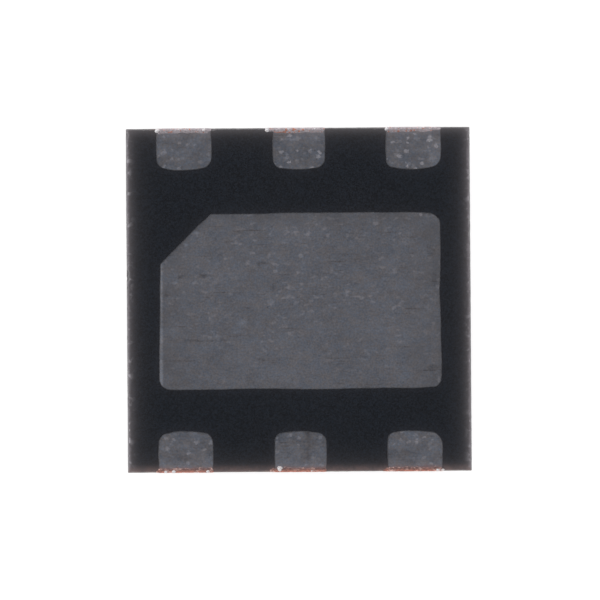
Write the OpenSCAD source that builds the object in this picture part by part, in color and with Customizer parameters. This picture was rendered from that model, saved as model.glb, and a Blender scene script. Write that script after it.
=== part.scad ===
// Dual flat no-lead chip package: six terminals on two sides and an exposed thermal pad.
// It lies on its flat moulded face with its lands up. The origin is the centre of that face,
// +Z points out of the lands, +Y to terminals 1 to 3, +X from terminal 1 to terminal 3.

/* [Package] */
// Width of the sawn moulding, along X
body_w = 1.954; // [1.900:0.002:2.100]
// Depth of the sawn moulding, along Y
body_d = 1.954; // [1.900:0.002:2.100]
// Height over the lands
total_h = 0.75; // [0.70:0.01:0.80]
// How far the plated lands stand proud of the moulding
standoff = 0.003; // [0.002:0.001:0.030]

/* [Thermal pad] */
// Width of the exposed pad, along X
pad_w = 1.60; // [1.55:0.01:1.62]
// Depth of the exposed pad, along Y
pad_d = 1.00; // [0.95:0.01:1.02]
// Leg of the 45 degree corner that marks terminal 1
pad_chamfer = 0.29; // [0.20:0.01:0.30]
// Radius of the other pad corners
pad_r = 0.065; // [0.030:0.005:0.080]
// Half-etched rim that locks the pad in the moulding
pad_rim = 0.050; // [0.030:0.005:0.060]

/* [Terminals] */
// Spacing of the terminals along X
pitch = 0.65; // [0.65:0.01:0.66]
// Width of the four corner terminals
outer_w = 0.315; // [0.28:0.005:0.33]
// Width of the two middle terminals
middle_w = 0.298; // [0.26:0.002:0.32]
// Length of a land, from the sawn side to its inner tip
land_l = 0.236; // [0.20:0.001:0.25]
// Radius of a land's inner corners
land_r = 0.055; // [0.040:0.005:0.070]
// How far the inner end bulges between its corners
land_crown = 0.012; // [0.006:0.002:0.016]
// Half-etched lip around the inner part of a terminal
land_lip = 0.040; // [0.025:0.005:0.045]

/* [Leadframe] */
// Thickness of the etched copper sheet
frame_t = 0.20; // [0.18:0.01:0.21]
// Thickness left where the sheet is half-etched
etched_t = 0.10; // [0.08:0.01:0.11]
// Width of a tie bar
tie_w = 0.15; // [0.10:0.01:0.18]
// Distance of the tie bars from the pad's middle, along Y
tie_y = 0.24; // [0.18:0.01:0.26]

/* [Die] */
// Width of the die, along X
die_w = 1.10; // [1.00:0.01:1.12]
// Depth of the die, along Y
die_d = 0.72; // [0.66:0.01:0.74]
// Thickness of the die
die_t = 0.20; // [0.15:0.01:0.21]
// Thickness of the adhesive under the die
attach_t = 0.025; // [0.015:0.005:0.030]

/* [Bond wires] */
// Diameter of the wire
wire_d = 0.025; // [0.020:0.001:0.028]
// Diameter of the ball on the die
ball_d = 0.070; // [0.060:0.005:0.075]
// How far the loop stands off the die
loop_h = 0.107; // [0.09:0.001:0.12]
// Spacing of the bonds on the die, along X
bond_pitch = 0.42; // [0.36:0.01:0.44]
// Distance of a bond from the die's edge
bond_inset = 0.060; // [0.050:0.005:0.080]

/* [Hidden] */

// Heights of the stack, from the moulded face up to the lands
mould_z = total_h - standoff;
inner_z = mould_z - frame_t;
attach_z = inner_z - attach_t;
die_z = attach_z - die_t;
// How far the hollows in the moulding run past its sawn sides
past = 0.05;
// Steps in a rounded corner and in half of a crowned end
arc_steps = 5;
crown_steps = 3;
// Bare length of a terminal next to its sawn end, with no lip
plain_l = 0.09;

// A terminal's column (-1, 0 or 1) and row (1 at +Y, -1 at -Y), numbered round the package
function column(n) = n <= 3 ? n - 2 : 5 - n;
function row(n) = n <= 3 ? 1 : -1;
function land_w(n) = column(n) == 0 ? middle_w : outer_w;

// A rounded corner: points on a quarter circle about c, from angle a
function corner(c, r, a) = [for (i = [0 : arc_steps]) c + r * [cos(a + 90 * i / arc_steps), sin(a + 90 * i / arc_steps)]];

// Outline of the pad, grown by g all round: three round corners and the cut corner at -X +Y
function pad_outline(g) =
  let (x = pad_w / 2 + g, y = pad_d / 2 + g, r = pad_r + g, c = pad_chamfer + g * (2 - sqrt(2)))
  concat(
    corner([x - r, y - r], r, 0),
    [[-x + c, y], [-x, y - c]],
    corner([-x + r, -y + r], r, 180),
    corner([x - r, -y + r], r, 270)
  );

// Outline of a terminal of width w, in its own frame: the sawn end at y = 0, the inner tip at y = -l.
// Its points in turn: right side, round corner, shallow bulge, round corner, left side. The sides start at y = from.
function land_points(w, l, r, from) =
  let (s = w / 2 - r, e = l - land_crown)
  concat(
    [[w / 2, from]],
    [for (i = [0 : arc_steps - 1]) [s + r * cos(90 * i / arc_steps), -e + r - r * sin(90 * i / arc_steps)]],
    [for (i = [-crown_steps : crown_steps]) [-s * i / crown_steps, -e - land_crown * (1 - pow(i / crown_steps, 2))]],
    [for (i = [arc_steps - 1 : -1 : 0]) [-s - r * cos(90 * i / arc_steps), -e + r - r * sin(90 * i / arc_steps)]],
    [[-w / 2, from]]
  );

// Puts a terminal's own frame at its place on the package's edge
module at_terminal(n) {
  translate([column(n) * pitch, row(n) * body_d / 2, 0])
    rotate([0, 0, row(n) > 0 ? 0 : 180])
      children();
}

// Copper of one terminal. reach runs it past the sawn side, for the hollow in the moulding.
module terminal_solid(n, reach) {
  w = land_w(n);
  at_terminal(n) {
    translate([0, 0, inner_z])
      linear_extrude(total_h - inner_z)
        polygon(land_points(w, land_l, land_r, reach));
    translate([0, 0, inner_z])
      linear_extrude(etched_t)
        polygon(land_points(w + 2 * land_lip, land_l + land_lip, land_r + land_lip, -plain_l));
  }
}

// Copper of the paddle with its rim and its four tie bars
module pad_solid(reach) {
  translate([0, 0, inner_z])
    linear_extrude(total_h - inner_z)
      polygon(pad_outline(0));
  translate([0, 0, inner_z])
    linear_extrude(etched_t)
      polygon(pad_outline(pad_rim));
  for (sx = [-1, 1], sy = [-1, 1])
    translate([sx > 0 ? pad_w / 2 - 0.2 : -body_w / 2 - reach, sy * tie_y - tie_w / 2, inner_z])
      cube([body_w / 2 - pad_w / 2 + 0.2 + reach, tie_w, etched_t]);
}

module attach_solid() {
  translate([-die_w / 2 - 0.02, -die_d / 2 - 0.02, attach_z])
    cube([die_w + 0.04, die_d + 0.04, attach_t]);
}

module die_solid() {
  translate([-die_w / 2, -die_d / 2, die_z])
    cube([die_w, die_d, die_t]);
}

// Where a wire leaves the die and where it meets its terminal
function ball_at(n) = [column(n) * bond_pitch, row(n) * (die_d / 2 - bond_inset)];
function stitch_at(n) = [column(n) * pitch, row(n) * (body_d / 2 - land_l + 0.085)];

function bezier(a, b, c, d, t) = pow(1 - t, 3) * a + 3 * pow(1 - t, 2) * t * b + 3 * (1 - t) * t * t * c + t * t * t * d;
function slope(a, b, c, d, t) = 3 * pow(1 - t, 2) * (b - a) + 6 * (1 - t) * t * (c - b) + 3 * t * t * (d - c);

// One wire in its own upright plane: each ring is [place along, height, direction, half thickness, half width].
// Ball on the die, neck, loop, then the heel and the flat stitch against the terminal.
function wire_rings(span) =
  let (
    r = wire_d / 2, b = ball_d / 2, k = loop_h * 1.45,
    p0 = [0, die_z - 0.030], p1 = [0, die_z - k], p2 = [0.32 * span, die_z - k - 0.018],
    p3 = [span - 0.065, inner_z - 0.030], loops = 10
  )
  concat(
    [
      [0, die_z, -90, b * 0.85, b * 0.85],
      [0, die_z - 0.004, -90, b, b],
      [0, die_z - 0.011, -90, b, b],
      [0, die_z - 0.016, -90, b * 0.74, b * 0.74],
      [0, die_z - 0.020, -90, r, r]
    ],
    [for (i = [0 : loops])
      let (t = i / loops, p = bezier(p0, p1, p2, p3, t), s = slope(p0, p1, p2, p3, t))
      [p[0], p[1], atan2(s[1], s[0]), r, r]],
    [
      [span - 0.035, inner_z - 0.011, 0, 0.011, r * 1.2],
      [span, inner_z - 0.004, 0, 0.004, r * 2.2]
    ]
  );

// Eight points of a ring, with a flat side towards the terminal
function ring_points(q) = [
  for (i = [0 : 7])
    let (a = 22.5 + 45 * i, h = q[3] * sin(a) / cos(22.5), w = q[4] * cos(a) / cos(22.5))
    [q[0] - h * sin(q[2]), w, q[1] + h * cos(q[2])]
];

module wire_solid(n) {
  a = ball_at(n);
  b = stitch_at(n);
  rings = wire_rings(norm(b - a));
  last = len(rings) - 1;
  translate([a[0], a[1], 0])
    rotate([0, 0, atan2(b[1] - a[1], b[0] - a[0])])
      polyhedron(
        points = [for (q = rings) each ring_points(q)],
        faces = concat(
          [[for (i = [0 : 7]) i]],
          [for (j = [0 : last - 1], i = [0 : 7])
            let (k = (i + 1) % 8)
            each [[j * 8 + i, (j + 1) * 8 + i, (j + 1) * 8 + k], [j * 8 + i, (j + 1) * 8 + k, j * 8 + k]]],
          [[for (i = [7 : -1 : 0]) last * 8 + i]]
        )
      );
}

// The moulding fills everything between and around the metal, the die and the wires
module mould_body() {
  color([0.13, 0.14, 0.16])
    difference() {
      translate([-body_w / 2, -body_d / 2, 0])
        cube([body_w, body_d, mould_z]);
      pad_solid(past);
      for (n = [1 : 6]) terminal_solid(n, past);
      attach_solid();
      die_solid();
      for (n = [1 : 6]) wire_solid(n);
    }
}

module thermal_pad() { color([0.55, 0.55, 0.58]) pad_solid(0); }

module terminal(n) { color([0.56, 0.55, 0.58]) terminal_solid(n, 0); }

module die_attach() { color([0.80, 0.80, 0.76]) attach_solid(); }

module silicon_die() { color([0.30, 0.32, 0.38]) die_solid(); }

module bond_wire(n) { color([0.72, 0.45, 0.30]) wire_solid(n); }

mould_body();
thermal_pad();
terminal(1);  // terminal_1
terminal(2);  // terminal_2
terminal(3);  // terminal_3
terminal(4);  // terminal_4
terminal(5);  // terminal_5
terminal(6);  // terminal_6
die_attach();
silicon_die();
bond_wire(1);  // bond_wire_1
bond_wire(2);  // bond_wire_2
bond_wire(3);  // bond_wire_3
bond_wire(4);  // bond_wire_4
bond_wire(5);  // bond_wire_5
bond_wire(6);  // bond_wire_6
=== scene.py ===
"""A small dual flat no-lead chip package, land side up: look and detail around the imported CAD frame."""
import math

import bmesh
import bpy
from mathutils import Matrix, Vector, noise
from mathutils.geometry import delaunay_2d_cdt


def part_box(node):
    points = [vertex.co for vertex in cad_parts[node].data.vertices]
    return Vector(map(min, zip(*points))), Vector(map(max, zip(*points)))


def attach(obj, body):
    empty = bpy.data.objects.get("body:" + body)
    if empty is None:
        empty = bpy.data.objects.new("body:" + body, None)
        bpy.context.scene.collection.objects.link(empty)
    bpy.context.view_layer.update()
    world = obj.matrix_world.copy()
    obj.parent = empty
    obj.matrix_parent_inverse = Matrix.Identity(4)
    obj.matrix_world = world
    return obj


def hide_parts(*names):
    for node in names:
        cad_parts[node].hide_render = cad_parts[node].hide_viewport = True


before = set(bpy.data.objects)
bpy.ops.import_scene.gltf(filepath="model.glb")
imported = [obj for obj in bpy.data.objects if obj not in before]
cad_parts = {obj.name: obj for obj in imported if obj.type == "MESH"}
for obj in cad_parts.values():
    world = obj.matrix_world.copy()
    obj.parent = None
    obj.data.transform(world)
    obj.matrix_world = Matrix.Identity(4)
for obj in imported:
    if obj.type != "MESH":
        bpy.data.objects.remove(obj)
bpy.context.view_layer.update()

# ------------------------------------------------------------------ sizes, in mm (the frame is in metres)

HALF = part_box("mould_body")[1][0] * 1000     # half the sawn body's side
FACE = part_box("mould_body")[1][2] * 1000     # moulded face between the lands
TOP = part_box("thermal_pad")[1][2] * 1000     # land plane
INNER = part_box("thermal_pad")[0][2] * 1000   # inner face of the copper
STEP = INNER + 0.10                          # top of the half-etched copper

PITCH = 0.65
LAND_LIP = 0.040
PLAIN_L = 0.09
PAD_X, PAD_Y = 1.60, 1.00
PAD_CHAMFER = 0.295
PAD_RIM = 0.05
TIE_W, TIE_Y = 0.15, 0.24
CUT = 0.0004                                 # how far the copper's sawn ends lie behind the body's outer planes
WORN = 0.0011                                # the same for the epoxy, which the saw wears further back than the copper
OFF_X, OFF_Y = 0.0053, -0.0056               # how far the saw cuts missed the middle of the leadframe

# terminal: column, row, land width and length, inner corner radii (left, right), crown peak and height,
# burr (tail on the left, gap on the right, width)
LANDS = {
    1: (-1, 1, 0.3155, 0.2412, 0.050, 0.060, -0.035, 0.011, 0.006, 0.010, 0.028),
    2: (0.0028, 1, 0.3000, 0.2393, 0.046, 0.054, -0.010, 0.008, 0.046, 0.000, 0.028),
    3: (1, 1, 0.3155, 0.2423, 0.036, 0.060, -0.004, 0.011, 0.006, 0.040, 0.026),
    4: (0.9985, -1, 0.3135, 0.2327, 0.035, 0.064, -0.040, 0.009, 0.028, -0.003, 0.025),
    5: (0.0013, -1, 0.2980, 0.2331, 0.039, 0.054, 0.000, 0.009, 0.032, 0.000, 0.026),
    6: (-1, -1, 0.3135, 0.2375, 0.056, 0.052, -0.020, 0.011, 0.016, -0.004, 0.028),
}

# lumps of metal torn up at the sawn edge: terminal -> (across, in from the edge, half width, half depth, height)
NUBS = {
    1: ((-0.151, 0.014, 0.014, 0.013, 0.0090), (0.114, 0.011, 0.012, 0.009, 0.0060), (-0.030, 0.008, 0.006, 0.006, 0.0030)),
    2: ((-0.180, 0.013, 0.013, 0.011, 0.0085), (-0.060, 0.009, 0.006, 0.006, 0.0030), (0.090, 0.010, 0.008, 0.006, 0.0030)),
    3: ((-0.152, 0.012, 0.010, 0.010, 0.0060), (0.040, 0.009, 0.008, 0.006, 0.0030)),
    4: ((0.128, 0.011, 0.012, 0.009, 0.0070), (0.152, 0.009, 0.014, 0.006, 0.0045)),
    5: ((-0.121, 0.022, 0.018, 0.016, 0.0125), (0.060, 0.009, 0.006, 0.006, 0.0035)),
    6: ((-0.115, 0.009, 0.011, 0.008, 0.0070), (-0.070, 0.010, 0.013, 0.010, 0.0085), (0.123, 0.010, 0.012, 0.009, 0.0075)),
}


# marks on the pad's plating, dark or pale, the first pale one a painted highlight along the right side near the lower
# corner: across, up, half width, half height, how much lighter
PAD_MARKS = [
    (-0.674, 0.135, 0.036, 0.018, -0.37), (-0.533, 0.138, 0.044, 0.020, -0.29), (-0.560, -0.228, 0.190, 0.012, -0.22),
    (0.744, 0.277, 0.042, 0.048, -0.27), (0.774, 0.110, 0.026, 0.066, -0.26), (0.757, -0.403, 0.050, 0.045, -0.26),
    (-0.212, 0.213, 0.030, 0.016, -0.29), (-0.149, 0.067, 0.022, 0.020, -0.26), (-0.752, 0.050, 0.024, 0.040, -0.27),
    (0.791, -0.458, 0.011, 0.030, 0.71), (-0.698, 0.100, 0.016, 0.014, 0.48), (0.015, 0.252, 0.016, 0.014, 0.61),
    (-0.127, 0.164, 0.018, 0.014, 0.51), (-0.155, -0.009, 0.040, 0.024, 0.27), (-0.319, -0.127, 0.040, 0.026, 0.27),
    (-0.580, 0.383, 0.030, 0.012, 0.44), (-0.637, 0.313, 0.016, 0.014, 0.41),
]


def rough(x, y, z, octaves=3):
    """Smooth fixed noise of about -1 to 1."""
    total, size, step = 0.0, 1.0, 1.0
    for _ in range(octaves):
        total += size * noise.noise(Vector((x * step, y * step, z * step)))
        size, step = size * 0.5, step * 2.03
    return total


def ease(t):
    t = min(1.0, max(0.0, t))
    return t * t * (3.0 - 2.0 * t)


# ------------------------------------------------------------------ node graphs

class Graph:
    """A material's node tree. Lengths in it are mm of object space."""

    def __init__(self, name):
        self.mat = bpy.data.materials.new(name)
        self.mat.use_nodes = True
        self.tree = self.mat.node_tree
        self.tree.nodes.clear()
        self.out = self.tree.nodes.new("ShaderNodeOutputMaterial")
        self.bsdf = self.tree.nodes.new("ShaderNodeBsdfPrincipled")
        self.tree.links.new(self.bsdf.outputs["BSDF"], self.out.inputs["Surface"])
        self.space = self.tree.nodes.new("ShaderNodeTexCoord").outputs["Object"]
        split = self.tree.nodes.new("ShaderNodeSeparateXYZ")
        self.put(split.inputs[0], self.at((1, 1, 1)))
        self.x, self.y, self.z = split.outputs

    def put(self, socket, value):
        if isinstance(value, bpy.types.NodeSocket):
            self.tree.links.new(value, socket)
        elif hasattr(socket.default_value, "__len__") and len(socket.default_value) == 4 and len(value) == 3:
            socket.default_value = (*value, 1.0)
        else:
            socket.default_value = value

    def set(self, **values):
        for name, value in values.items():
            self.put(self.bsdf.inputs[name.replace("_", " ")], value)

    def at(self, scale, offset=(0, 0, 0), shaken=None):
        """Object space in mm times scale, plus offset; shaken is (amount in mm, noise scale) that bends it first."""
        source = self.space
        if shaken:
            amount, fineness = shaken
            bend = self.tree.nodes.new("ShaderNodeTexNoise")
            self.put(bend.inputs["Vector"], self.at((fineness,) * 3, (11, 5, 3)))
            bend.inputs["Scale"].default_value = 1.0
            bend.inputs["Detail"].default_value = 1.0
            moved = self.tree.nodes.new("ShaderNodeVectorMath")
            moved.operation = "MULTIPLY_ADD"
            self.put(moved.inputs[0], bend.outputs["Color"])
            moved.inputs[1].default_value = (amount * 0.002,) * 3
            self.put(moved.inputs[2], self.space)
            source = moved.outputs[0]
        node = self.tree.nodes.new("ShaderNodeVectorMath")
        node.operation = "MULTIPLY_ADD"
        self.put(node.inputs[0], source)
        node.inputs[1].default_value = [s * 1000.0 for s in scale]
        node.inputs[2].default_value = offset
        return node.outputs[0]

    def noise(self, scale, detail=2.0, roughness=0.5, offset=(0, 0, 0), distortion=0.0):
        node = self.tree.nodes.new("ShaderNodeTexNoise")
        self.put(node.inputs["Vector"], self.at(scale if hasattr(scale, "__len__") else (scale,) * 3, offset))
        node.inputs["Scale"].default_value = 1.0
        node.inputs["Detail"].default_value = detail
        node.inputs["Roughness"].default_value = roughness
        node.inputs["Distortion"].default_value = distortion
        return node.outputs[0]

    def cells(self, scale, offset=(0, 0, 0), shaken=None, flat=False):
        """(distance to the nearest cell point, that cell's random number, another one); flat leaves Z out"""
        node = self.tree.nodes.new("ShaderNodeTexVoronoi")
        node.voronoi_dimensions = "2D" if flat else "3D"
        self.put(node.inputs["Vector"], self.at(scale if hasattr(scale, "__len__") else (scale,) * 3, offset, shaken))
        node.inputs["Scale"].default_value = 1.0
        split = self.tree.nodes.new("ShaderNodeSeparateColor")
        self.put(split.inputs[0], node.outputs["Color"])
        return node.outputs["Distance"], split.outputs[0], split.outputs[1]

    def math(self, operation, a, b=0.0, c=0.0, clamp=False):
        node = self.tree.nodes.new("ShaderNodeMath")
        node.operation = operation
        node.use_clamp = clamp
        for socket, value in zip(node.inputs, (a, b, c)):
            self.put(socket, value)
        return node.outputs[0]

    def add(self, *values):
        total = values[0]
        for value in values[1:]:
            total = self.math("ADD", total, value)
        return total

    def mul(self, *values):
        total = values[0]
        for value in values[1:]:
            total = self.math("MULTIPLY", total, value)
        return total

    def off(self, value, amount):
        """amount times how far a 0-1 noise is from its middle."""
        return self.math("MULTIPLY_ADD", value, amount, -0.5 * amount)

    def fade(self, distance, reach):
        """1 at distance 0, falling off as exp(-distance / reach)."""
        return self.math("EXPONENT", self.mul(self.math("MAXIMUM", distance, 0.0), -1.0 / reach))

    def span(self, value, a, b, low=0.0, high=1.0, smooth=True):
        """value going from a to b gives low to high, held outside."""
        node = self.tree.nodes.new("ShaderNodeMapRange")
        node.interpolation_type = "SMOOTHSTEP" if smooth else "LINEAR"
        node.clamp = True
        for socket, number in zip(node.inputs, (value, a, b, low, high)):
            self.put(socket, number)
        return node.outputs[0]

    def mark(self, x, y, half_x, half_y, frayed):
        """1 in the middle of a soft spot at (x, y), falling to 0 at its edge, which frayed makes uneven."""
        node = self.tree.nodes.new("ShaderNodeVectorMath")
        node.operation = "LENGTH"
        self.put(node.inputs[0], self.at((1 / half_x, 1 / half_y, 0), (-x / half_x, -y / half_y, 0)))
        return self.span(self.add(node.outputs["Value"], frayed), 1.0, 0.2)

    def mix(self, factor, a, b, blend="MIX"):
        node = self.tree.nodes.new("ShaderNodeMix")
        node.data_type = "RGBA"
        node.blend_type = blend
        node.clamp_factor = True
        self.put(node.inputs[0], factor)
        self.put(node.inputs[6], a)
        self.put(node.inputs[7], b)
        return node.outputs[2]

    def scale(self, colour, factor):
        node = self.tree.nodes.new("ShaderNodeVectorMath")
        node.operation = "SCALE"
        self.put(node.inputs[0], colour)
        self.put(node.inputs["Scale"], factor)
        return node.outputs[0]

    def bump(self, height, distance, strength=1.0):
        node = self.tree.nodes.new("ShaderNodeBump")
        node.inputs["Strength"].default_value = strength
        node.inputs["Distance"].default_value = distance
        self.put(node.inputs["Height"], height)
        return node.outputs["Normal"]

    def sides(self):
        """(distance in from the sawn left and right sides, the same from the sawn upper and lower sides)"""
        return (self.math("SUBTRACT", HALF, self.math("ABSOLUTE", self.x)),
                self.math("SUBTRACT", HALF, self.math("ABSOLUTE", self.y)))


def moulded_epoxy():
    """Matte blue-black filled epoxy as it left the mould, greyer towards the sawn edges with a painted glow and painted
    highlights.
    """
    g = Graph("moulded_epoxy")
    _, fine, tint = g.cells(165)
    soft = g.noise(26, 2, 0.5, (3, 3, 3))
    blotch = g.noise(3.2, 3, 0.55, (4, 1, 0))
    base = g.mix(g.add(tint, g.off(blotch, 0.8)), (0.0084, 0.0138, 0.0224), (0.0130, 0.0156, 0.0212))
    base = g.scale(base, g.add(1.0, g.off(fine, 1.3), g.off(soft, 0.3)))
    # a painted glow that thickens towards the sawn left and right edges, with a pale, ragged painted highlight on the
    # very edge
    dx, dy = g.sides()
    rag = g.noise(26, 2, 0.55, (9, 2, 0))
    base = g.mix(g.mul(g.fade(dx, 0.023), g.span(rag, 0.30, 0.70, 0.36, 0.56)), base, (0.232, 0.210, 0.226))
    base = g.mix(g.mul(g.span(g.add(dx, g.off(rag, 0.022)), 0.025, 0.000), 0.68), base, (0.42, 0.375, 0.415))
    # painted glints near the left and right edges, stronger on the left
    spot = g.mul(g.span(g.noise(27, 2, 0.5, (1, 3, 8)), 0.52, 0.68), g.fade(dx, 0.0095))
    base = g.mix(g.math("MINIMUM", g.mul(spot, g.span(g.x, -0.1, 0.1, 2.3, 1.3)), 1.0), base, (0.86, 0.825, 0.88))
    # copper dust along the lower edge
    low = g.mul(g.span(g.y, -HALF + 0.052, -HALF + 0.004), g.span(g.noise(30, 3, 0.6, (0, 3, 5)), 0.30, 0.66, 0.36, 1.0))
    base = g.mix(g.mul(low, 0.80), base, (0.190, 0.104, 0.092))
    g.set(Base_Color=base, Roughness=g.span(fine, 0.0, 1.0, 0.52, 0.66), Specular_IOR_Level=0.36)
    g.set(Normal=g.bump(g.add(g.mul(g.noise(88, 2, 0.6), 0.8), g.mul(soft, 0.5)), 0.5e-6))
    return g.mat


def sawn_epoxy():
    """The same epoxy cut through by the saw: silica grains in a dark binder, drawn out along the cut."""
    g = Graph("sawn_epoxy")
    big, big_id, big_tone = g.cells(27, (0.3, 0.6, 0.2), (0.010, 60))
    mid, mid_id, mid_tone = g.cells(58, (5.2, 5.7, 5.1), (0.006, 120))
    tiny, tiny_id, tiny_tone = g.cells(125, (2.4, 8.3, 1.6))
    lines = g.noise((5, 5, 150), 4, 0.62)
    fine = g.noise((26, 26, 190), 3, 0.6, (2, 5, 9))
    broad = g.noise((2.6, 2.6, 13), 3, 0.55, (1, 6, 2))
    base = g.scale((0.046, 0.0465, 0.049), g.add(1.0, g.off(broad, 0.9), g.off(lines, 1.1), g.off(fine, 0.8)))
    grain = g.mul(g.span(tiny, 0.36, 0.26), g.math("GREATER_THAN", tiny_id, 0.42))
    base = g.mix(g.mul(grain, 0.50), base, g.scale((0.098, 0.098, 0.100), g.add(0.65, g.mul(tiny_tone, 0.7))))
    grain_mid = g.mul(g.math("LESS_THAN", mid, g.mul(mid_id, 0.42)), g.math("GREATER_THAN", mid_id, 0.50))
    base = g.mix(g.mul(grain_mid, 0.34), base, g.scale((0.088, 0.089, 0.093), g.add(0.5, g.mul(mid_tone, 0.9))))
    grain_big = g.mul(g.math("LESS_THAN", big, g.mul(big_id, 0.40)), g.math("GREATER_THAN", big_id, 0.70))
    base = g.mix(g.mul(grain_big, 0.26), base, g.scale((0.090, 0.091, 0.096), g.add(0.4, g.mul(big_tone, 1.0))))
    base = g.scale(base, g.add(1.0, g.off(fine, 0.7), g.off(lines, 0.5)))
    # copper dragged off the terminals' ends, to the photo's left, on the two terminal sides
    dx, dy = g.sides()
    on_y = g.math("LESS_THAN", dy, dx)
    along = g.math("WRAP", g.x, PITCH / 2, -PITCH / 2)
    reach = g.noise((0.01, 0.01, 60), 3, 0.6, (4, 4, 4))
    near = g.span(g.add(along, g.off(reach, 0.10)), -0.225, -0.158)
    near = g.mul(near, g.math("LESS_THAN", along, 0.0))
    level = g.mul(g.span(g.z, INNER - 0.008, INNER + 0.012), g.span(g.z, FACE + 0.008, FACE - 0.004))
    drag = g.mul(on_y, near, level, g.span(lines, 0.42, 0.60))
    base = g.mix(g.mul(drag, 0.62), base, (0.46, 0.26, 0.20))
    # pale upper edges, a painted highlight that is stronger on the left and right sides, and copper dust along the
    # lower edge
    rim = g.span(g.add(g.z, g.off(g.noise(30, 3, 0.6, (7, 7, 1)), 0.034)), FACE - 0.020, FACE + 0.002)
    base = g.mix(g.mul(rim, g.span(g.math("SUBTRACT", dx, dy), -0.02, 0.02, 0.85, 0.50)), base, (0.34, 0.335, 0.345))
    tinge = g.mul(rim, g.span(g.y, -HALF + 0.03, -HALF), g.span(g.noise(14, 3, 0.6, (0, 3, 5)), 0.3, 0.6))
    base = g.mix(g.mul(tinge, 0.6), base, (0.34, 0.19, 0.145))
    g.set(Base_Color=base, Roughness=g.span(lines, 0.3, 0.7, 0.55, 0.80), Specular_IOR_Level=0.36)
    height = g.add(g.mul(lines, 0.9), g.mul(fine, 0.6), g.mul(grain_big, 0.3), g.mul(grain_mid, 0.25), g.mul(grain, 0.15))
    g.set(Normal=g.bump(height, 1.2e-6))
    return g.mat


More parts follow.
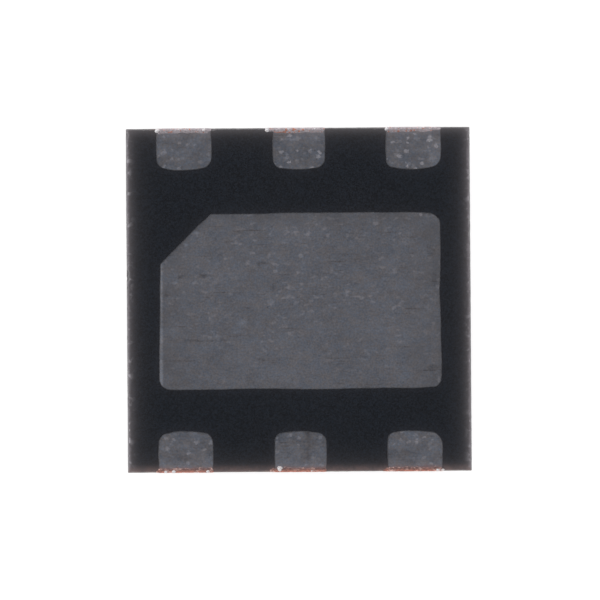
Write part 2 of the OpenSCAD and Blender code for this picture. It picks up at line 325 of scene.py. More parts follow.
def matte_tin(name, seed, body, specks, dragged):
    """Matte tin plating over rolled copper: fine grain, soft pale blobs with painted glints, short dark rolling marks
    along X, mottling.
    """
    g = Graph(name)

    def o(a, b, c):
        return (seed * 3.1 + a, seed * 1.7 + b, seed * 0.9 + c)

    grain = g.noise(95, 2, 0.6, o(1, 1, 1))
    mottle = g.noise((34, 44, 34), 2, 0.5, o(0, 9, 0))
    cloud = g.noise((10, 14, 10), 2, 0.5, o(6, 2, 0))
    patch = g.noise((2.4, 3.2, 2.4), 2, 0.5, o(2, 4, 0))
    streak = g.noise((8, 120, 8), 3, 0.58, o(0, 0, 0))
    hue = g.add(g.mul(g.noise(100, 2, 0.6, o(7, 3, 2)), 0.65), g.mul(g.noise((16, 20, 16), 2, 0.5, o(1, 8, 2)), 0.35))
    dash = g.span(g.noise((7.0, 80, 7.0), 2, 0.5, o(8, 1, 0)), 0.59, 0.73)
    dash = g.mul(dash, g.span(g.noise((3.0, 18, 3.0), 2, 0.5, o(0, 3, 6)), 0.45, 0.58))
    depth = g.math("SUBTRACT", HALF, g.math("ABSOLUTE", g.y))
    # soft pale blobs, bumps in the height and painted glints in the colour: small bright ones, more of them inwards, on
    # the lands, and clusters of fainter ones on the pad
    if dragged:
        inner = g.span(depth, 0.03, 0.17, 0.0, 0.030)
        speck = g.mul(g.span(g.add(g.noise((21, 27, 21), 2, 0.5, o(3, 6, 1)), inner), 0.575, 0.72), 0.34)
        far, chosen, wide = g.cells((24, 34, 24), o(5, 2, 1), (0.012, 60), True)
        bright = g.span(g.add(far, g.mul(wide, -0.22), g.off(mottle, 0.7)), 0.25, -0.02)
        bright = g.mul(bright, g.span(g.add(chosen, g.mul(inner, 5.0)), 0.72, 1.00))
        # the middle and right lands of the upper row have more of them
        more = g.math("MULTIPLY_ADD", g.mul(g.span(g.x, -0.36, -0.28), g.span(g.y, -0.1, 0.1)), 0.75, 0.62)
        speck = g.mul(g.add(speck, g.mul(bright, 1.0)), more)
    else:
        cluster = g.span(g.noise((5, 6, 5), 2, 0.5, o(5, 5, 2)), 0.42, 0.58, 0.25, 1.0)
        cluster = g.mul(cluster, g.span(g.y, -0.42, -0.12, 0.40, 1.0))
        speck = g.mul(g.span(g.noise((27, 36, 27), 1, 0.5, o(3, 6, 1)), 0.56, 0.76), cluster)
        # one painted glint near the upper right corner
        away = g.add(g.math("POWER", g.math("SUBTRACT", g.x, 0.694), 2.0), g.math("POWER", g.math("SUBTRACT", g.y, 0.479), 2.0))
        speck = g.add(speck, g.mul(g.span(g.math("SQRT", away), 0.013, 0.004), 2.6))
    pits, pit_pick, _ = g.cells(34, o(1, 1, 1))
    pit = g.mul(g.span(pits, 0.30, 0.10), g.math("GREATER_THAN", pit_pick, 0.91))
    tone = g.add(1.0, g.off(grain, 0.95), g.off(mottle, 0.30), g.off(cloud, 0.36 * body), g.off(patch, 0.24 * body),
                 g.off(streak, 0.38), g.mul(dash, -0.25), g.mul(pit, -0.20), g.mul(speck, specks))
    if not dragged:
        # dark and pale marks; the first pale one is a painted highlight along the pad's right side near its lower
        # corner
        for x, y, half_x, half_y, lighter in PAD_MARKS:
            tone = g.add(tone, g.mul(g.mark(x, y, half_x, half_y, g.off(mottle, 1.8)), lighter))
    base = g.mix(g.span(hue, 0.38, 0.62), (0.336, 0.374, 0.444), (0.404, 0.380, 0.384))
    base = g.mix(g.mul(dash, 0.6), base, (0.395, 0.362, 0.358))
    # the painted glints of the blobs also pale the colour
    base = g.mix(g.mul(speck, 0.6), base, (0.422, 0.397, 0.410))
    base = g.scale(base, tone)
    if dragged:
        base = g.scale(base, g.add(g.span(g.y, -0.1, 0.1, 1.00, 0.93), g.mul(g.span(depth, 0.085, 0.02), g.span(g.y, 0.1, -0.1), 0.13)))
        # a dark mark along the middle land of the lower row
        mark = g.mul(g.fade(g.math("ABSOLUTE", g.math("SUBTRACT", g.x, 0.047)), 0.016), g.span(g.y, -0.1, -0.2), g.span(depth, 0.04, 0.09))
        base = g.scale(base, g.math("MULTIPLY_ADD", g.mul(mark, g.span(cloud, 0.35, 0.60, 0.5, 1.0)), -0.45, 1.0))
        # copper smeared over the plating next to the sawn end, strongest on the lower row
        shore = g.add(depth, g.off(g.noise((30, 12, 30), 3, 0.62, o(4, 4, 4)), 0.034))
        smear = g.mul(g.span(shore, 0.046, 0.014), g.span(g.y, -0.1, 0.1, 0.85, 0.12))
        base = g.mix(smear, base, (0.50, 0.285, 0.270))
    else:
        # a painted highlight makes the plating brighter along the pad's left side
        base = g.scale(base, g.span(g.x, OFF_X - PAD_X / 2 + 0.015, OFF_X - PAD_X / 2 + 0.030, 1.80, 1.0))
        # and darker and browner, in blotches, near its left, right and upper sides
        dull = g.math("MAXIMUM", g.span(g.math("ABSOLUTE", g.x), 0.55, 0.78), g.span(g.y, 0.36, 0.49))
        dull = g.mul(dull, g.span(g.noise((9, 11, 9), 2, 0.5, o(2, 7, 7)), 0.38, 0.64, 0.4, 1.5))
        base = g.mix(g.mul(dull, 0.28), base, (0.350, 0.334, 0.338))
        base = g.scale(base, g.span(dull, 0.0, 1.5, 1.014, 0.915, False))
        # and along the cut corner
        base = g.scale(base, g.span(g.add(g.x, g.mul(g.y, -1.0)), -0.986, -0.958, 0.84, 1.0))
    g.set(Base_Color=base, Metallic=1.0)
    g.set(Roughness=g.add(0.46, g.off(streak, -0.2), g.mul(speck, -0.04)))
    height = g.add(g.mul(streak, 0.5), g.mul(grain, 0.8), g.mul(mottle, 0.5), g.mul(speck, 0.5), g.mul(dash, -0.6), g.mul(pit, -0.8))
    g.set(Normal=g.bump(height, 0.45e-6))
    return g.mat


def cut_copper():
    """Bare copper where the saw went through, smeared along the cut, with a painted highlight over the rolled edge on
    the upper row.
    """
    g = Graph("cut_copper")
    lines = g.noise((7, 7, 190), 4, 0.6)
    smear = g.noise((26, 60, 70), 3, 0.6, (3, 0, 7))
    oxide = g.noise(20, 3, 0.6, (6, 2, 2))
    speckle = g.noise((80, 80, 80), 2, 0.6, (1, 9, 4))
    depth = g.math("SUBTRACT", HALF, g.math("ABSOLUTE", g.y))
    along = g.math("WRAP", g.math("SUBTRACT", g.x, OFF_X), PITCH / 2, -PITCH / 2)
    base = g.mix(g.span(oxide, 0.35, 0.68), (0.72, 0.335, 0.245), (0.56, 0.232, 0.160))
    base = g.scale(base, g.add(1.0, g.off(lines, 1.3), g.off(speckle, 0.7)))
    # the rolled edge is torn and dull: copper on the lower row, browner inwards, to where the plating begins
    rolled = g.span(g.z, FACE - 0.014, FACE - 0.008)
    inwards = g.span(g.add(depth, g.off(smear, 0.014)), 0.004, 0.027)
    torn = g.mix(inwards, (0.57, 0.182, 0.108), (0.225, 0.130, 0.125))
    torn = g.mix(g.span(g.add(smear, g.span(along, -0.19, -0.09, 0.16, 0.0)), 0.545, 0.63), torn, (0.80, 0.50, 0.43))
    # and on the upper row a pale colour, a painted highlight, with copper showing through in flecks
    fleck = g.span(g.add(g.noise(66, 1, 0.5, (2, 2, 6)), g.span(along, -0.12, 0.12, 0.02, -0.03)), 0.61, 0.67)
    plated = g.mix(fleck, (0.52, 0.462, 0.486), (0.58, 0.190, 0.095))
    torn = g.mix(g.span(g.y, -0.1, 0.1), torn, plated)
    torn = g.scale(torn, g.add(1.0, g.mul(g.off(speckle, 1.0), g.span(g.y, -0.1, 0.1, 2.6, 1.8))))
    base = g.mix(rolled, base, torn)
    g.set(Base_Color=base, Metallic=g.math("MULTIPLY_ADD", rolled, -0.6, 1.0), Roughness=g.span(lines, 0.25, 0.75, 0.52, 0.38))
    height = g.add(g.mul(lines, 1.0), g.mul(smear, 0.5), g.mul(speckle, 0.5))
    g.set(Normal=g.bump(height, 0.8e-6))
    return g.mat


def torn_tin_painted_glint():
    """Bright, freshly torn tin of the little lumps on the sawn edges, its near-white colour a painted glint."""
    g = Graph("torn_tin_painted_glint")
    rough_tone = g.noise(90, 2, 0.6)
    base = g.mix(g.span(g.noise(40, 2, 0.5, (5, 1, 2)), 0.45, 0.75), (0.98, 0.965, 0.975), (0.95, 0.86, 0.83))
    g.set(Base_Color=g.scale(base, g.add(0.98, g.off(rough_tone, 0.2))), Metallic=0.35, Roughness=g.span(rough_tone, 0.3, 0.7, 0.38, 0.50))
    g.set(Normal=g.bump(rough_tone, 0.4e-6))
    return g.mat


def plating_wall_painted_shade():
    """The narrow wall round a plated land, darkened with painted shade."""
    g = Graph("plating_wall_painted_shade")
    tone = g.noise((50, 50, 200), 2, 0.6, (3, 1, 4))
    g.set(Base_Color=g.scale((0.130, 0.131, 0.140), g.add(1.0, g.off(tone, 1.2))), Metallic=1.0, Roughness=g.span(tone, 0.3, 0.7, 0.46, 0.58))
    g.set(Normal=g.bump(tone, 0.3e-6))
    return g.mat


def dark_silicon():
    g = Graph("dark_silicon")
    grind = g.noise((8, 200, 8), 3, 0.6)
    haze = g.noise(6, 2, 0.5)
    g.set(Base_Color=g.mix(grind, (0.24, 0.26, 0.30), (0.34, 0.36, 0.40)), Metallic=0.6,
          Roughness=g.span(haze, 0.3, 0.7, 0.22, 0.34), Normal=g.bump(grind, 0.3e-6))
    return g.mat


def silver_adhesive():
    g = Graph("silver_adhesive")
    far, pick, _ = g.cells((60, 60, 160))
    flakes = g.span(far, 0.35, 0.15)
    g.set(Base_Color=g.mix(g.mul(flakes, pick), (0.45, 0.44, 0.40), (0.78, 0.77, 0.74)), Metallic=0.3,
          Roughness=g.span(pick, 0.0, 1.0, 0.45, 0.65), Normal=g.bump(g.mul(flakes, pick), 1.2e-6))
    return g.mat


def drawn_wire():
    g = Graph("drawn_wire")
    lines = g.noise((300, 30, 300), 2, 0.5)
    tarnish = g.noise(20, 3, 0.55)
    g.set(Base_Color=g.mix(tarnish, (0.82, 0.47, 0.32), (0.66, 0.33, 0.21)), Metallic=1.0,
          Roughness=g.span(tarnish, 0.3, 0.7, 0.24, 0.36), Normal=g.bump(lines, 0.3e-6))
    return g.mat


EPOXY, SAWN, COPPER, TORN_GLINT, SHADED_WALL = moulded_epoxy(), sawn_epoxy(), cut_copper(), torn_tin_painted_glint(), plating_wall_painted_shade()
TIN_PAD = matte_tin("tin_on_pad", 0.0, 1.0, 0.52, False)
TIN_LAND = matte_tin("tin_on_lands", 7.0, 2.4, 1.00, True)
PAD_STOCK = [TIN_PAD, COPPER, SHADED_WALL]
LAND_STOCK = [TIN_LAND, COPPER, SHADED_WALL, TORN_GLINT]


# ------------------------------------------------------------------ solids

class Solid:
    """Vertices in mm, faces with a material slot each."""

    def __init__(self):
        self.verts, self.faces, self.slots = [], [], []

    def ring(self, points):
        start = len(self.verts)
        self.verts += [tuple(p) for p in points]
        return list(range(start, len(self.verts)))

    def face(self, corners, slot=0):
        self.faces.append(tuple(corners))
        self.slots.append(slot)

    def wall(self, a, b, slot=0):
        """Quads between two rings; slot may be one number or one per side."""
        for i in range(len(a)):
            j = (i + 1) % len(a)
            self.face((a[i], a[j], b[j], b[i]), slot if isinstance(slot, int) else slot[i])

    def cap(self, ring, inside, height, slot=0):
        """Triangulates a ring seen from above, with extra points inside it at height(x, y)."""
        flat = [Vector(self.verts[i][:2]) for i in ring] + [Vector(p) for p in inside]
        _, _, faces, ids, _, _ = delaunay_2d_cdt(flat, [], [list(range(len(ring)))], 1, 1e-7)
        index = {}

        def place(k):
            if k not in index:
                origin = min(ids[k])
                index[k] = ring[origin] if origin < len(ring) else self.ring([(*flat[origin], height(*flat[origin]))])[0]
            return index[k]

        for f in faces:
            self.face([place(k) for k in f], slot)

    def make(self, name, materials):
        mesh = bpy.data.meshes.new(name)
        mesh.from_pydata(self.verts, [], self.faces)
        for m in materials:
            mesh.materials.append(m)
        mesh.polygons.foreach_set("material_index", self.slots)
        work = bmesh.new()
        work.from_mesh(mesh)
        bmesh.ops.recalc_face_normals(work, faces=work.faces)
        work.to_mesh(mesh)
        work.free()
        piece = bpy.data.objects.new(name, mesh)
        bpy.context.scene.collection.objects.link(piece)
        return piece


def join(piece, other, operation, keep=False):
    """piece with other added to it or cut out of it."""
    m = piece.modifiers.new("join", "BOOLEAN")
    m.operation, m.solver, m.object, m.material_mode = operation, "MANIFOLD", other, "INDEX"
    bpy.context.view_layer.update()
    done = piece.evaluated_get(bpy.context.evaluated_depsgraph_get())
    mesh = bpy.data.meshes.new_from_object(done)
    piece.modifiers.clear()
    old, piece.data = piece.data, mesh
    bpy.data.meshes.remove(old)
    if not keep:
        mesh = other.data
        bpy.data.objects.remove(other)
        bpy.data.meshes.remove(mesh)
    return piece


def prism(points, low, high, slot, name, materials):
    s = Solid()
    a = s.ring([(x, y, low) for x, y in points])
    b = s.ring([(x, y, high) for x, y in points])
    s.wall(a, b, slot)
    s.face(a[::-1], slot)
    s.face(b, slot)
    return s.make(name, materials)


def resample(points, step):
    """An open line's points again, about one step apart, keeping its ends."""
    lengths = [0.0]
    for a, b in zip(points, points[1:]):
        lengths.append(lengths[-1] + math.dist(a, b))
    count = max(2, round(lengths[-1] / step))
    result, k = [], 0
    for i in range(count + 1):
        want = lengths[-1] * i / count
        while k < len(points) - 2 and lengths[k + 1] < want:
            k += 1
        run = lengths[k + 1] - lengths[k]
        t = (want - lengths[k]) / run if run else 0.0
        result.append(tuple(p + (q - p) * t for p, q in zip(points[k], points[k + 1])))
    return result


def arc(cx, cy, r, start, end, steps=10):
    return [(cx + r * math.cos(math.radians(start + (end - start) * i / steps)),
             cy + r * math.sin(math.radians(start + (end - start) * i / steps))) for i in range(steps + 1)]


def outward(points, closed):
    """Unit normals to the left of the direction of travel, one per point."""
    n, result = len(points), []
    for i in range(n):
        a = points[i - 1] if closed or i else points[i]
        b = points[(i + 1) % n] if closed or i < n - 1 else points[i]
        dx, dy = b[0] - a[0], b[1] - a[1]
        size = math.hypot(dx, dy)
        result.append((-dy / size, dx / size))
    return result


def inside_points(ring, step, gap, jitter=0.25):
    """Points of a slightly shaken grid that lie inside a ring, at least gap from it."""
    ys = [p[1] for p in ring]
    result = []
    rows = int((max(ys) - min(ys)) / step)
    near = {}
    for p in ring:
        near.setdefault((int(p[0] // 0.05), int(p[1] // 0.05)), []).append(p)
    for j in range(1, rows):
        y = min(ys) + (max(ys) - min(ys)) * j / rows
        cross = sorted(
            a[0] + (b[0] - a[0]) * (y - a[1]) / (b[1] - a[1])
            for a, b in zip(ring, ring[1:] + ring[:1]) if (a[1] > y) != (b[1] > y)
        )
        for left, right in zip(cross[::2], cross[1::2]):
            count = int((right - left) / step)
            for i in range(1, count):
                x = left + (right - left) * (i + (0.5 if j % 2 else 0.0)) / count
                p = (x + jitter * step * noise.noise(Vector((x * 91, y * 91, 1.5))), y + jitter * step * noise.noise(Vector((x * 91, y * 91, 7.5))))
                cell = (int(p[0] // 0.05), int(p[1] // 0.05))
                close = (q for cx in (-1, 0, 1) for cy in (-1, 0, 1) for q in near.get((cell[0] + cx, cell[1] + cy), ()))
                if all(math.dist(p, q) > gap for q in close):
                    result.append(p)
    return result


# plating edge: (how far in, how far below the land plane), from the wall up
EDGE = [(0.0000, 0.0026), (0.0004, 0.0013), (0.0012, 0.0005), (0.0026, 0.0001), (0.0042, 0.0)]


def land_line(n, extra=0.0):
    """The land's outline without its sawn end, in (u to the photo's right, v in from the sawn side)."""
    column, row, w, length, r_left, r_right, peak, crown, *_ = LANDS[n]
    half, end = w / 2 + extra, length - crown + extra
    r_left, r_right = r_left + extra, r_right + extra
    line = [(-half, 0.0), (-half, end - r_left)]
    line += arc(-half + r_left, end - r_left, r_left, 180, 90)[1:]
    a, b = -half + r_left, half - r_right
    for i in range(1, 24):
        u = a + (b - a) * i / 24
        t = (peak - u) / (peak - a) if u < peak else (u - peak) / (b - peak)
        line.append((u, end + crown * (1 - t * t)))
    line += arc(half - r_right, end - r_right, r_right, 90, 0)
    line.append((half, 0.0))
    line = resample(line, 0.0065)
    bent = []
    for u, v in line:
        belly = 0.0045 * math.sin(math.pi * min(1.0, v / (length - 0.02))) - 0.0045
        bent.append((u * (1 + belly / half), v))
    if extra:
        return bent
    wavy = []
    for (u, v), (nu, nv) in zip(bent, outward(bent, False)):
        k = 0.0014 * rough(u * 17 + n * 7.3, v * 17, n * 3.1, 2) + 0.0007 * rough(u * 60, v * 60 + n * 5.0, 4.0, 1)
        wavy.append((u + nu * k, max(0.0, v + nv * k * ease(v / 0.02))))
    wavy[0], wavy[-1] = (wavy[0][0], 0.0), (wavy[-1][0], 0.0)
    return wavy


def to_world(n, u, v):
    column, row = LANDS[n][:2]
    return column * PITCH + OFF_X + u, row * (HALF - CUT - v)


def nub(n, u, v, half_u, half_v, height):
    """A lump torn up at a terminal's sawn edge."""
    mesh = bpy.data.meshes.new("nub")
    work = bmesh.new()
    bmesh.ops.create_icosphere(work, subdivisions=3, radius=1.0)
    x, y = to_world(n, u, v)
    for p in work.verts:
        k = 1 + 0.30 * rough(p.co.x * 1.3 + u * 40, p.co.y * 1.3 + n, p.co.z * 1.3, 2)
        rise = 1.15 * (1.0 - math.hypot(p.co.x, p.co.y)) if p.co.z > 0.0 else p.co.z
        p.co = (x + p.co.x * half_u * k, y + p.co.y * half_v * k, TOP - 0.0015 + rise * height * k)
    for f in work.faces:
        f.material_index = 3
    work.to_mesh(mesh)
    work.free()
    for m in LAND_STOCK:
        mesh.materials.append(m)
    piece = bpy.data.objects.new("nub", mesh)
    bpy.context.scene.collection.objects.link(piece)
    return piece


def terminal(n):
    """One terminal: tin-plated land proud of the moulding, locking lip inside it, sawn copper end with its drag burr."""
    tail, gap, reach = LANDS[n][8:]
    line = land_line(n)
    normals = outward(line, False)
    cut_count = max(8, round((line[-1][0] - line[0][0]) / 0.008))
    s = Solid()
    levels = [(0.0, INNER + (STEP - INNER) * i / 6) for i in range(7)]
    levels += [(0.0, STEP + (FACE - 0.004 - STEP) * i / 6) for i in range(1, 7)]
    levels += [(k, TOP - drop) for k, drop in EDGE]
    rings = []
    for inset, z in levels:
        edge = [(u - nu * inset, max(0.0, v - nv * inset)) for (u, v), (nu, nv) in zip(line, normals)]
        edge[0], edge[-1] = (edge[0][0], 0.0), (edge[-1][0], 0.0)
        cut = []
        for i in range(1, cut_count):
            u = edge[-1][0] + (edge[0][0] - edge[-1][0]) * i / cut_count
            cut.append((u, 0.0004 + 0.0006 * rough(u * 14 + n, z * 120, n * 2.0, 2)))
        points = edge + cut
        rings.append(s.ring([(*to_world(n, u, v), z) for u, v in points]))
    tin, copper, edging = 0, 1, 2
    for k, (a, b) in enumerate(zip(rings, rings[1:])):
        buried = levels[k + 1][1] < FACE - 0.002
        side = [copper if buried or i >= len(line) - 1 else edging for i in range(len(a))]
        s.wall(a, b, side)
    s.face(rings[0][::-1], copper)
    top = [s.verts[i][:2] for i in rings[-1]]
    s.cap(rings[-1], inside_points(top, 0.0085, 0.0045),
          lambda x, y: TOP + 0.0007 * rough(x * 13, y * 13, 2.0 + n, 2) - 0.0004, tin)
    stock = LAND_STOCK
    piece = s.make(f"terminal_{n}_land", stock)
    # the saw bent the sawn edge down
    s = Solid()
    ends = []
    for u in (line[0][0] - 0.02, line[-1][0] + 0.02):
        ends.append(s.ring([(*to_world(n, u, v), TOP + h) for v, h in ((0.0200, 0.0013), (-0.0040, -0.0127), (-0.0040, 0.02), (0.0200, 0.02))]))
    s.wall(ends[0], ends[1], copper)
    s.face(ends[0][::-1], copper)
    s.face(ends[1], copper)
    join(piece, s.make("bent", stock), "DIFFERENCE")
    # locking lip, half etched, behind the plain stretch at the saw line
    lip = [p for p in land_line(n, LAND_LIP) if p[1] > PLAIN_L]
    lip = [(lip[0][0], PLAIN_L)] + lip[::2] + [(lip[-1][0], PLAIN_L)]
    join(piece, prism([to_world(n, *p) for p in lip], INNER + 0.0002, STEP, 1, "lip", stock), "UNION")
    # burr: copper and tin rolled over the land's sawn edge and dragged past its left side
    s = Solid()
    left, right = line[0][0] - tail, line[-1][0] - gap
    steps = round((right - left) / 0.0045)
    sections = []
    for i in range(steps + 1):
        u = left + (right - left) * i / steps
        taper = ease((u - left) / 0.02 + 0.06) * ease((right - u) / 0.012 + 0.08)
        on_land = ease((u - line[0][0] + 0.004) / 0.010)
        base = FACE + (TOP - FACE) * on_land
        torn = 0.5 + 0.5 * rough(u * 21 + n * 9.7, n * 4.0, 0.5, 3)
        ragged = 0.0 if LANDS[n][1] > 0 else 0.30 * rough(u * 58 + n * 2.7, 1.0, n * 3.0, 2)
        deep = reach * (0.76 + 0.50 * torn + ragged) * (0.45 + 0.55 * taper) * (0.75 + 0.25 * on_land)
        high = (0.0012 + 0.0026 * (0.5 + 0.5 * rough(u * 33 + n, 6.0, n * 1.3, 2))) * (0.3 + 0.7 * taper)
        nick = max(0.0, rough(u * 26 + n * 5, 2.0, 6.0, 2) - 0.25) * 0.012
        out = -CUT + nick + 0.003 * (1 - taper)
        foot = base - (0.012 + 0.022 * (0.5 + 0.5 * rough(u * 27, n * 2.2, 3.0, 2))) * (0.3 + 0.7 * taper)
        profile = [
            (deep + 0.004, base - 0.0045), (deep, base + 0.0001), (deep * 0.90, base + high * 0.70), (deep * 0.76, base + high),
            (deep * 0.58, base + high - 0.0006), (deep * 0.40, base + high - 0.0020), (deep * 0.22 + nick * 0.4, base + high - 0.0042),
            (deep * 0.08 + nick * 0.8, base + high - 0.0068), (out, base + high - 0.0105), (out, foot), (0.008, foot - 0.006),
        ]
        sections.append(s.ring([(*to_world(n, u, v), z) for v, z in profile]))
    for a, b in zip(sections, sections[1:]):
        s.wall(a, b, 1)
    s.face(sections[0][::-1], 1)
    s.face(sections[-1], 1)
    join(piece, s.make("burr", stock), "UNION")
    for lump in NUBS[n]:
        join(piece, nub(n, *lump), "UNION")
    return piece


def window(n):
    """The opening that the saw left in the epoxy at a terminal's end."""
    line = land_line(n)
    a, b = line[0][0], line[-1][0]
    return prism([to_world(n, u, v) for u, v in ((a, -0.02), (b, -0.02), (b, 0.01), (a, 0.01))], INNER, TOP + 0.02, 1, "window", [EPOXY, SAWN])


def pad_line(extra_x, extra_y):
    """The pad's outline, its upper left corner cut, anticlockwise seen from the land side."""
    x, y, c = PAD_X / 2 + extra_x, PAD_Y / 2 + extra_y, PAD_CHAMFER + extra_x * 0.586
    a, b, d = 0.060 + extra_x, 0.046 + extra_x, 0.066 + extra_x
    # the left side leans in a little towards the cut corner, whose two ends are almost sharp
    lean, r, q = 0.0085, 0.014, 0.024
    half_turn = math.tan(math.radians(22.5))
    line = arc(-x + lean + r, y - c + lean - r * half_turn, r, 135, 180, 6)
    line += arc(-x + a - 0.0012, -y + a, a, 180, 270)
    line += arc(x - b, -y + b, b, 270, 360)
    line += arc(x - d, y - d, d, 0, 90)
    line += arc(-x + c + q * half_turn, y - q, q, 90, 135, 6)
    line.append(line[0])
    return line


def pad_bend(x, y):
    """How far the etched outline strays from its straight sides, outwards."""
    upper, lower = ease((y - PAD_Y / 2 + 0.065) / 0.06), ease((-PAD_Y / 2 + 0.065 - y) / 0.06)
    right = ease((x - PAD_X / 2 + 0.045) / 0.03)
    bend = upper * (-0.0045 * ease((-0.10 - x) / 0.10) - 0.0068 * ease((x - 0.62) / 0.16))
    bend += right * (-0.0050 * math.exp(-((y - 0.05) / 0.12) ** 2) + 0.0030 * math.exp(-((y + 0.36) / 0.10) ** 2))
    bend += lower * (0.0025 * math.sin(x * 9.0 + 0.7) - 0.0100 * ease((x - 0.60) / 0.17))
    return bend


def tie_bar(sx, sy):
    """One half-etched tie bar from the rim out to its sawn end."""
    s = Solid()
    rings = []
    inner = PAD_X / 2 - 0.15
    for k in range(10):
        x = inner + (HALF - CUT - inner) * k / 9
        ring = []
        for i in range(64):
            a = 2 * math.pi * (i + 0.5) / 64
            ca, sa = math.cos(a), math.sin(a)
            py = math.copysign(abs(ca) ** 0.22, ca) * TIE_W / 2
            pz = math.copysign(abs(sa) ** 0.22, sa) * (STEP - INNER) / 2
            shake = 1 + 0.016 * rough(ca * 3 + sx * 4, sa * 3 + sy * 7, x * 4, 2)
            ring.append((sx * x, sy * TIE_Y + py * shake, (INNER + STEP) / 2 + min(pz * shake, (STEP - INNER) / 2)))
        rings.append(s.ring(ring))
    for a, b in zip(rings, rings[1:]):
        s.wall(a, b, 1)
    s.face(rings[0][::-1], 1)
    # sawn end, drawn in steps so that it carries its own saw lines
    last = rings[-1]
    for shrink in (0.86, 0.6, 0.3):
        ring = []
        for i in last if shrink == 0.86 else rings[-1]:
            _, y, z = s.verts[i]
            y, z = sy * TIE_Y + (y - sy * TIE_Y) * shrink, (INNER + STEP) / 2 + (z - (INNER + STEP) / 2) * shrink
            ring.append((sx * (HALF - CUT - 0.0003 + 0.0006 * rough(y * 30, z * 110, sx * 3 + sy, 2)), y, z))
        ring = s.ring(ring)
        s.wall(last, ring, 1)
        last = ring
    s.face(last, 1)
    return s.make("tie", PAD_STOCK)


def tie_window(sx, sy):
    """The opening that the saw left in the epoxy at a tie bar's end."""
    s = Solid()
    rings = []
    for x in (HALF - 0.01, HALF + 0.02):
        ring = []
        for i in range(40):
            a = 2 * math.pi * (i + 0.5) / 40
            ca, sa = math.cos(a), math.sin(a)
            ring.append((sx * x, sy * TIE_Y + math.copysign(abs(ca) ** 0.22, ca) * TIE_W * 0.485,
                         (INNER + STEP) / 2 + math.copysign(abs(sa) ** 0.22, sa) * (STEP - INNER) * 0.48))
        rings.append(s.ring(ring))
    s.wall(rings[0], rings[1], 1)
    s.face(rings[0][::-1], 1)
    s.face(rings[1], 1)
    return s.make("window", [EPOXY, SAWN])


def thermal_pad():
    """The exposed paddle with its half-etched rim and its four sawn tie bars."""
    line = resample(pad_line(-0.0007, 0.0002), 0.008)[:-1]
    normals = outward(line[::-1], True)[::-1]
    wavy = []
    for (x, y), (nx, ny) in zip(line, normals):
        k = 0.0016 * rough(x * 9, y * 9, 11.0, 3) + 0.0008 * rough(x * 55, y * 55, 5.0, 1) + pad_bend(x, y)
        wavy.append((x + nx * k + OFF_X + 0.0016, y + ny * k + OFF_Y - 0.0006))
    normals = outward(wavy[::-1], True)[::-1]
    s = Solid()
    levels = [(0.0, INNER), (0.0, STEP), (0.0, FACE - 0.004)] + [(k, TOP - drop) for k, drop in EDGE]
    rings = [s.ring([(x - nx * inset, y - ny * inset, z) for (x, y), (nx, ny) in zip(wavy, normals)]) for inset, z in levels]
    for k, (a, b) in enumerate(zip(rings, rings[1:])):
        buried = levels[k + 1][1] < FACE - 0.002
        s.wall(a, b, 1 if buried else 2)
    s.face(rings[0][::-1], 1)
    top = [s.verts[i][:2] for i in rings[-1]]
    s.cap(rings[-1], inside_points(top, 0.0110, 0.0055),
          lambda x, y: TOP + 0.0010 * rough(x * 3.5, y * 9, 3.0, 3) - 0.0006, 0)
    piece = s.make("exposed_pad", PAD_STOCK)
    rim = resample(pad_line(PAD_RIM, PAD_RIM), 0.03)[:-1]
    join(piece, prism(rim, INNER + 0.0002, STEP, 1, "rim", PAD_STOCK), "UNION")
    for sx in (-1, 1):
        for sy in (-1, 1):
            join(piece, tie_bar(sx, sy), "UNION")
    return piece


def block_line():
    """The sawn outline at one level: (x, y, outward x, outward y, distance along) all the way round."""
    result, r = [], 0.006
    count = 236
    for k, (cx, cy) in enumerate(((1, 0), (0, 1), (-1, 0), (0, -1))):
        tx, ty = -cy, cx
        for i in range(count + 1):
            t = -(HALF - r) + 2 * (HALF - r) * i / count
            result.append((cx * HALF + tx * t, cy * HALF + ty * t, cx, cy, k * 2 * HALF + t))
        for i in (1, 2):
            a = math.radians(90 * k + 30 * i)
            ox, oy = cx * (HALF - r) + tx * (HALF - r), cy * (HALF - r) + ty * (HALF - r)
            result.append((ox + r * math.cos(a), oy + r * math.sin(a), math.cos(a), math.sin(a), k * 2 * HALF + HALF))
    return result


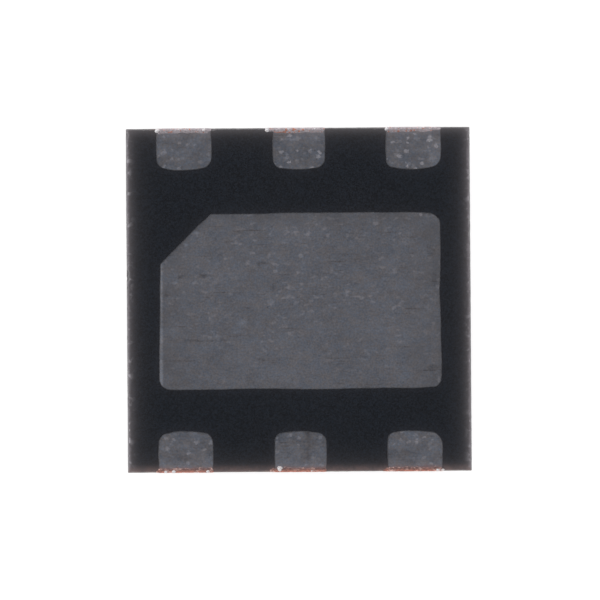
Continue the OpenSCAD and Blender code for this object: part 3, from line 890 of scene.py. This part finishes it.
def moulding():
    """The sawn epoxy block, with chipped edges and saw lines on its sides."""
    line = block_line()
    s = Solid()
    side = [0.010 + (FACE - 0.030) * i / 34 for i in range(35)]
    levels = [(0.030, 0.0), (0.006, 0.0), (0.0018, 0.0016), (0.0004, 0.005)]
    levels += [(0.0, z) for z in side]
    levels += [(0.0004, FACE - 0.0125), (0.0016, FACE - 0.0080), (0.0040, FACE - 0.0042), (0.0080, FACE - 0.0016),
               (0.0140, FACE - 0.0004), (0.0240, FACE), (0.0420, FACE)]

    def chip(along, low):
        """How much of the edge is missing here: mostly nothing, here and there a bite."""
        big = rough(along * 9.0, 3.0 if low else 0.0, 1.7, 3)
        fine = rough(along * 46.0, 5.0, 2.7 if low else 0.3, 2)
        bite = max(0.0, big - 0.42) * 0.026 + max(0.0, fine - 0.30) * 0.010
        return min(0.012, bite)

    rings = []
    for inset, z in levels:
        ring = []
        for x, y, nx, ny, along in line:
            low = z < FACE / 2
            bite = chip(along, low) * ease((2 * HALF - abs(x) - abs(y)) / 0.03)
            near = ease(1 - abs(z - (0.0 if low else FACE)) / (0.006 + 2.2 * bite))
            flat = ease(1 - max(0.0, inset - 0.002) / (0.004 + 1.5 * bite))
            saw = 0.0
            if inset < 0.02:
                saw = max(0.0, WORN + 0.0009 * rough(along * 2.4, z * 85, 3.3, 3) + 0.0006 * rough(along * 30, z * 40, 9.0, 2))
            shrink, gone = 1 - inset / HALF, saw + bite * near
            drop = bite * 0.8 * flat * near if inset > 0.0002 else 0.0
            ring.append((x * shrink - nx * gone, y * shrink - ny * gone, z + drop if low else z - drop))
        rings.append(s.ring(ring))
    split = len(levels) - 4
    for k, (a, b) in enumerate(zip(rings, rings[1:])):
        s.wall(a, b, 0 if k < 1 or k >= split else 1)
    grid = [(-0.9 + 1.8 * i / 24, -0.9 + 1.8 * j / 24) for i in range(25) for j in range(25)]
    s.cap(rings[0], grid, lambda x, y: 0.0, 0)
    s.cap(rings[-1], grid, lambda x, y: FACE + 0.0003 * rough(x * 5, y * 5, 1.0, 2), 0)
    return s.make("moulding", [EPOXY, SAWN])


def cad_copy(name, grown=0.0):
    """A welded copy of a CAD node's mesh in mm, to cut with, its skin moved out by grown."""
    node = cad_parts[name]
    work = bmesh.new()
    work.from_mesh(node.data)
    bmesh.ops.transform(work, matrix=node.matrix_world, verts=work.verts)
    bmesh.ops.scale(work, vec=(1000, 1000, 1000), verts=work.verts)
    bmesh.ops.remove_doubles(work, verts=work.verts, dist=1e-5)
    bmesh.ops.recalc_face_normals(work, faces=work.faces)
    work.normal_update()
    for v in work.verts:
        v.co += v.normal * grown
    mesh = bpy.data.meshes.new("tool")
    work.to_mesh(mesh)
    work.free()
    if mesh.attributes.get("custom_normal"):
        mesh.attributes.remove(mesh.attributes["custom_normal"])
    piece = bpy.data.objects.new("tool", mesh)
    bpy.context.scene.collection.objects.link(piece)
    return piece


def drop_slivers(work):
    """Deletes the tiny loose shells that a cut can leave."""
    left = set(work.verts)
    while left:
        shell, todo = set(), [left.pop()]
        while todo:
            v = todo.pop()
            shell.add(v)
            for e in v.link_edges:
                other = e.other_vert(v)
                if other in left:
                    left.remove(other)
                    todo.append(other)
        size = [max(v.co[k] for v in shell) - min(v.co[k] for v in shell) for k in range(3)]
        if size[0] * size[1] * size[2] < 1e-6:
            bmesh.ops.delete(work, geom=list(shell), context="VERTS")


def settle(piece, node, angle=38):
    """Clean faces, smooth shading with true edges, mm to metres, and its place in the frame."""
    mesh = piece.data
    if mesh.attributes.get("custom_normal"):
        mesh.attributes.remove(mesh.attributes["custom_normal"])
    work = bmesh.new()
    work.from_mesh(mesh)
    drop_slivers(work)
    bmesh.ops.triangulate(work, faces=[f for f in work.faces if len(f.verts) > 4])
    work.to_mesh(mesh)
    work.free()
    mesh.shade_smooth()
    mesh.set_sharp_from_angle(angle=math.radians(angle))
    mesh.transform(Matrix.Scale(0.001, 4))
    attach(piece, "root")
    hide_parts(node)


pad = thermal_pad()
terminals = {n: terminal(n) for n in LANDS}
block = moulding()
for n in LANDS:
    join(block, window(n), "DIFFERENCE")
for sx in (-1, 1):
    for sy in (-1, 1):
        join(block, tie_window(sx, sy), "DIFFERENCE")
for piece in [pad, *terminals.values()]:
    join(block, piece, "DIFFERENCE", keep=True)
for name in ("die_attach", "silicon_die"):
    join(block, cad_copy(name), "DIFFERENCE")
for n in LANDS:
    join(block, cad_copy(f"bond_wire_{n}", 0.0003), "DIFFERENCE")

settle(block, "mould_body")
settle(pad, "thermal_pad")
for n, piece in terminals.items():
    settle(piece, f"terminal_{n}")

for name, material in [("die_attach", silver_adhesive()), ("silicon_die", dark_silicon())]:
    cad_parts[name].data.materials.clear()
    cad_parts[name].data.materials.append(material)
wire = drawn_wire()
for n in LANDS:
    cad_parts[f"bond_wire_{n}"].data.materials.clear()
    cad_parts[f"bond_wire_{n}"].data.materials.append(wire)

# ------------------------------------------------------------------ floor, light, camera

scene = bpy.context.scene
scene.view_settings.view_transform = "Standard"

mesh = bpy.data.meshes.new("floor")
mesh.from_pydata([(-0.3, -0.3, 0), (0.3, -0.3, 0), (0.3, 0.3, 0), (-0.3, 0.3, 0)], [], [(0, 1, 2, 3)])
floor = bpy.data.objects.new("floor", mesh)
floor.location.z = -2e-6
scene.collection.objects.link(floor)
g = Graph("pale_floor")
g.set(Base_Color=g.mix(g.noise(0.4, 2, 0.5), (0.40, 0.40, 0.40), (0.42, 0.42, 0.42)), Roughness=0.9, Specular_IOR_Level=0.0,
      Emission_Color=(1.0, 1.0, 1.0), Emission_Strength=0.92)
mesh.materials.append(g.mat)

world = bpy.data.worlds.new("studio")
scene.world = world
world.use_nodes = True
nodes, links = world.node_tree.nodes, world.node_tree.links
nodes.clear()
where = nodes.new("ShaderNodeTexCoord")
split = nodes.new("ShaderNodeSeparateXYZ")
links.new(where.outputs["Generated"], split.inputs[0])
ramp = nodes.new("ShaderNodeValToRGB")
links.new(split.outputs[2], ramp.inputs[0])
ramp.color_ramp.elements[0].position, ramp.color_ramp.elements[0].color = 0.20, (1.0, 1.0, 1.0, 1)
ramp.color_ramp.elements[1].position, ramp.color_ramp.elements[1].color = 0.90, (0.172, 0.177, 0.190, 1)
for place, tone in ((0.42, 0.58), (0.62, 0.25)):
    ramp.color_ramp.elements.new(place).color = (tone * 0.985, tone, tone * 1.04, 1)
back = nodes.new("ShaderNodeBackground")
links.new(ramp.outputs[0], back.inputs["Color"])
out = nodes.new("ShaderNodeOutputWorld")
links.new(back.outputs[0], out.inputs["Surface"])


def softbox(name, place, size, power, colour=(1, 1, 1)):
    data = bpy.data.lights.new(name, "AREA")
    data.shape, data.size, data.size_y = "RECTANGLE", size[0], size[1]
    data.energy, data.color = power, colour
    lamp = bpy.data.objects.new(name, data)
    lamp.location = place
    lamp.rotation_mode = "QUATERNION"
    lamp.rotation_quaternion = Vector(place).to_track_quat("Z", "Y")
    scene.collection.objects.link(lamp)
    return lamp


softbox("left", (-0.24, 0.03, 0.11), (0.20, 0.09), 0.17)
softbox("back", (0.03, 0.24, 0.12), (0.22, 0.09), 0.11)
softbox("right", (0.25, -0.05, 0.10), (0.18, 0.07), 0.05)

data = bpy.data.cameras.new("camera")
data.lens, data.sensor_width, data.sensor_fit = 100, 36, "AUTO"
data.clip_start, data.clip_end = 1e-4, 5.0
camera = bpy.data.objects.new("camera", data)
scene.collection.objects.link(camera)
camera.location = (0.0072e-3, -0.0010e-3, (TOP + 600 / 176.5 * data.lens / 36) * 0.001)
camera.rotation_euler = (0, 0, math.radians(-0.38))
scene.camera = camera

# the faint glow that a lens gives dark edges in front of white
scene.use_nodes = True
tree = scene.node_tree
tree.nodes.clear()
picture = tree.nodes.new("CompositorNodeRLayers").outputs["Image"]
light = picture
for radius, share in ((15, 0.100), (48, 0.036)):
    veil = tree.nodes.new("CompositorNodeBlur")
    veil.filter_type = "GAUSS"
    veil.size_x = veil.size_y = radius
    warm = tree.nodes.new("CompositorNodeMixRGB")
    warm.blend_type = "MULTIPLY"
    warm.inputs[0].default_value = 1.0
    warm.inputs[2].default_value = (1.09, 0.975, 0.985, 1)
    blend = tree.nodes.new("CompositorNodeMixRGB")
    blend.inputs[0].default_value = share
    tree.links.new(picture, veil.inputs["Image"])
    tree.links.new(veil.outputs["Image"], warm.inputs[1])
    tree.links.new(light, blend.inputs[1])
    tree.links.new(warm.outputs["Image"], blend.inputs[2])
    light = blend.outputs["Image"]
final = tree.nodes.new("CompositorNodeComposite")
tree.links.new(light, final.inputs["Image"])
